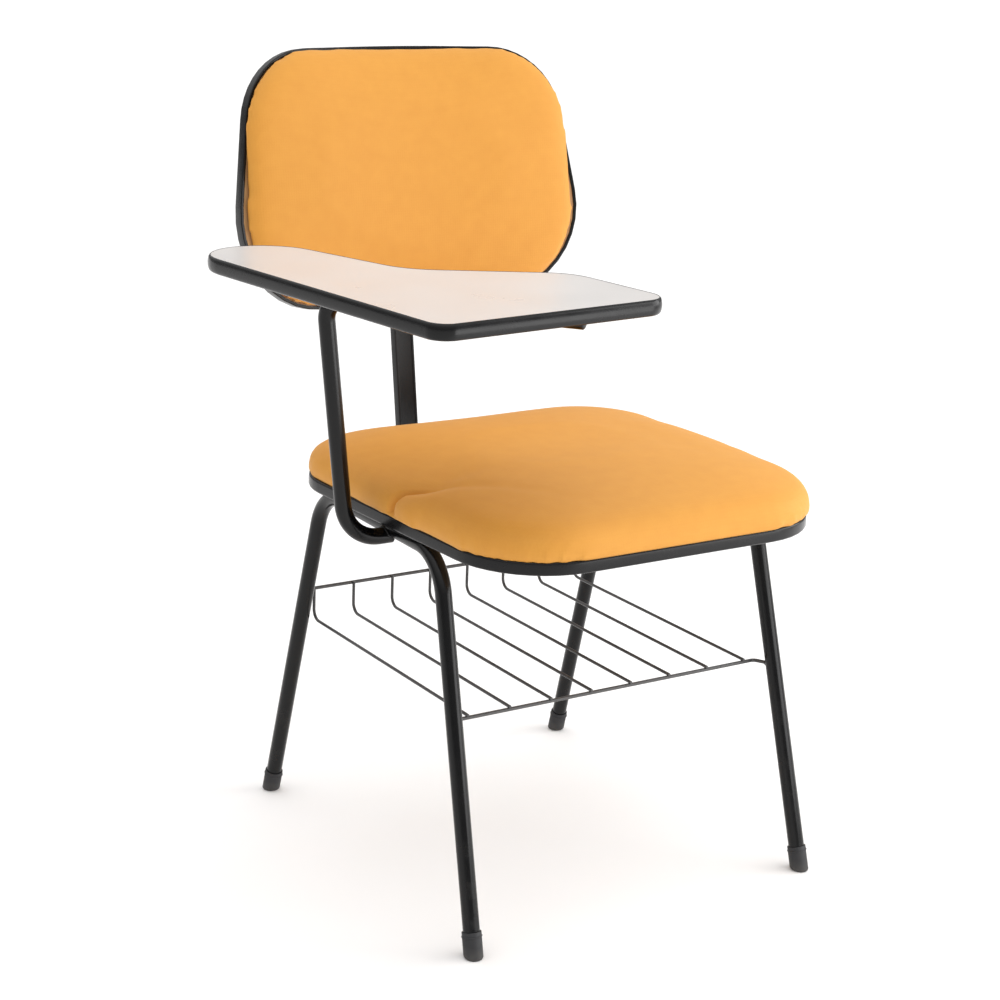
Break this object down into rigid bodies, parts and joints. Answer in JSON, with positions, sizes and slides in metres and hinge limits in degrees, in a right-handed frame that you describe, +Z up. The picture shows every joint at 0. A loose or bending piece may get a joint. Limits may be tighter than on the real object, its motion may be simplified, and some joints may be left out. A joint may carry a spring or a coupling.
{
  "type": "tablet arm chair",
  "caption": "Upholstered tablet arm chair: bent tube side frames, padded seat and back on boards with edge trim, fixed writing tablet on a bent tube arm, wire book basket under the seat",
  "frame": {"origin": "on the floor under the middle of the whole chair's box", "axes": "+Z up, the chair faces -Y, +X towards the sitter's left, the tablet is on the -X side"},
  "size_m": [0.6006, 0.6702, 0.8808],
  "materials": {
    "frame_paint": "gloss black powder coat on steel",
    "wire_paint": "black coated steel wire",
    "foot_rubber": "dark grey rubber",
    "plywood": "raw plywood",
    "fibreboard": "dense fibreboard",
    "trim_plastic": "gloss black edge trim",
    "cover_plastic": "black moulded plastic",
    "upholstery": "orange yellow upholstery",
    "laminate": "cream laminate",
    "bolt_steel": "zinc plated steel"
  },
  "bodies": {
    "root": {"side_frame_right": "frame_paint", "side_frame_left": "frame_paint", "front_cross_rail": "frame_paint", "rear_cross_rail": "frame_paint", "seat_mount_tabs": "frame_paint", "foot_cap_front_right": "foot_rubber", "foot_cap_front_left": "foot_rubber", "foot_cap_rear_right": "foot_rubber", "foot_cap_rear_left": "foot_rubber", "seat_board": "plywood", "seat_edge_trim": "trim_plastic", "seat_cushion": "upholstery", "seat_bolts": "bolt_steel", "seat_tee_nuts": "bolt_steel", "spine_bar": "frame_paint", "spine_cover": "cover_plastic", "back_bracket": "frame_paint", "back_bolts": "bolt_steel", "back_tee_nuts": "bolt_steel", "back_board": "plywood", "back_edge_trim": "trim_plastic", "back_cushion": "upholstery", "tablet_arm": "frame_paint", "arm_end_plug": "cover_plastic", "tablet_straps": "frame_paint", "tablet_screws": "bolt_steel", "tablet_board": "fibreboard", "tablet_laminate": "laminate", "tablet_edge_band": "trim_plastic", "basket_front_bar": "wire_paint", "basket_rear_bar": "wire_paint", "basket_wires": "wire_paint"}
  },
  "joints": []
}
